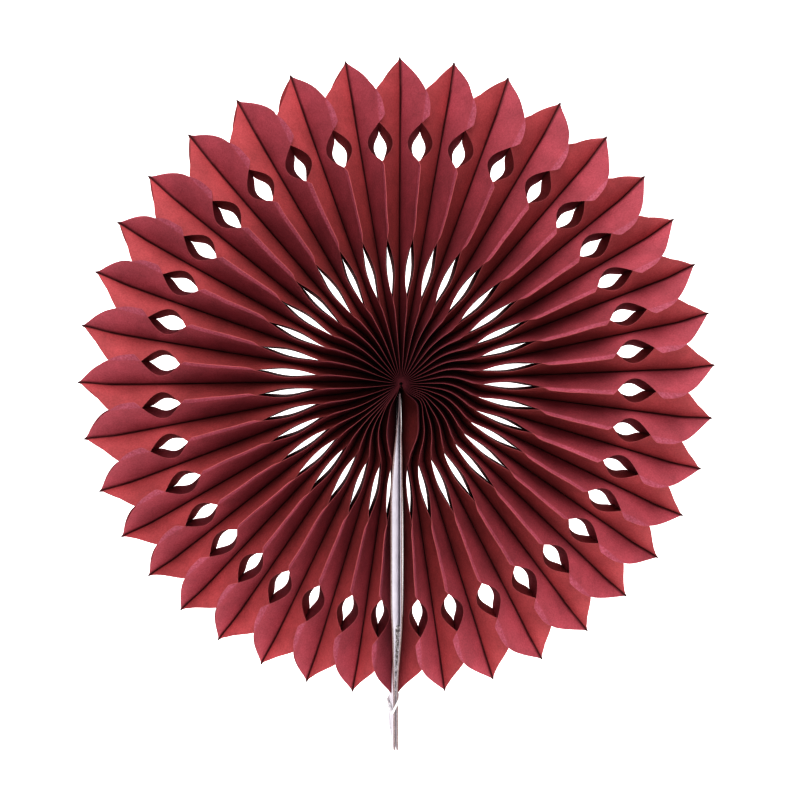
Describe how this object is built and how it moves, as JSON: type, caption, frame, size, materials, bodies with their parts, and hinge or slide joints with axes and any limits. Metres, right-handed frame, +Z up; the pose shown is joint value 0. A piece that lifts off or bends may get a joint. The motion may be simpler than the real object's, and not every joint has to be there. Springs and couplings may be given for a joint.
{
  "type": "paper fan rosette",
  "caption": "Round double-sided paper fan rosette with pointed leaves and die-cut eye holes, closed by two straight cover cards that end in a punched, thread-tied tail.",
  "frame": {"origin": "centre of the rosette, on its axis at the hub and halfway through its depth", "axes": "+Y along the rosette's axis from its front to its back, +Z up in the rosette's plane, away from the tail of the cover cards, and +X to the right seen from the front"},
  "size_m": [0.3998, 0.0536, 0.43],
  "materials": {
    "leaf_paper": "matte burgundy paper",
    "cover_board": "matte grey-lilac board",
    "tape": "mottled adhesive",
    "hot_glue": "satin",
    "thread": "matte white thread"
  },
  "bodies": {
    "root": {"leaf_01": "leaf_paper", "leaf_02": "leaf_paper", "leaf_03": "leaf_paper", "leaf_04": "leaf_paper", "leaf_05": "leaf_paper", "leaf_06": "leaf_paper", "leaf_07": "leaf_paper", "leaf_08": "leaf_paper", "leaf_09": "leaf_paper", "leaf_10": "leaf_paper", "leaf_11": "leaf_paper", "leaf_12": "leaf_paper", "leaf_13": "leaf_paper", "leaf_14": "leaf_paper", "leaf_15": "leaf_paper", "leaf_16": "leaf_paper", "leaf_17": "leaf_paper", "leaf_18": "leaf_paper", "leaf_19": "leaf_paper", "leaf_20": "leaf_paper", "leaf_21": "leaf_paper", "leaf_22": "leaf_paper", "leaf_23": "leaf_paper", "leaf_24": "leaf_paper", "leaf_25": "leaf_paper", "leaf_26": "leaf_paper", "leaf_27": "leaf_paper", "leaf_28": "leaf_paper", "leaf_29": "leaf_paper", "leaf_30": "leaf_paper", "leaf_31": "leaf_paper", "leaf_32": "leaf_paper", "leaf_33": "leaf_paper", "leaf_34": "leaf_paper", "leaf_35": "leaf_paper", "leaf_36": "leaf_paper", "leaf_37": "leaf_paper", "leaf_38": "leaf_paper", "cover_card_left": "cover_board", "cover_card_right": "cover_board", "closing_tape": "tape", "glue_spine": "hot_glue", "thread_tie": "thread"}
  },
  "joints": []
}
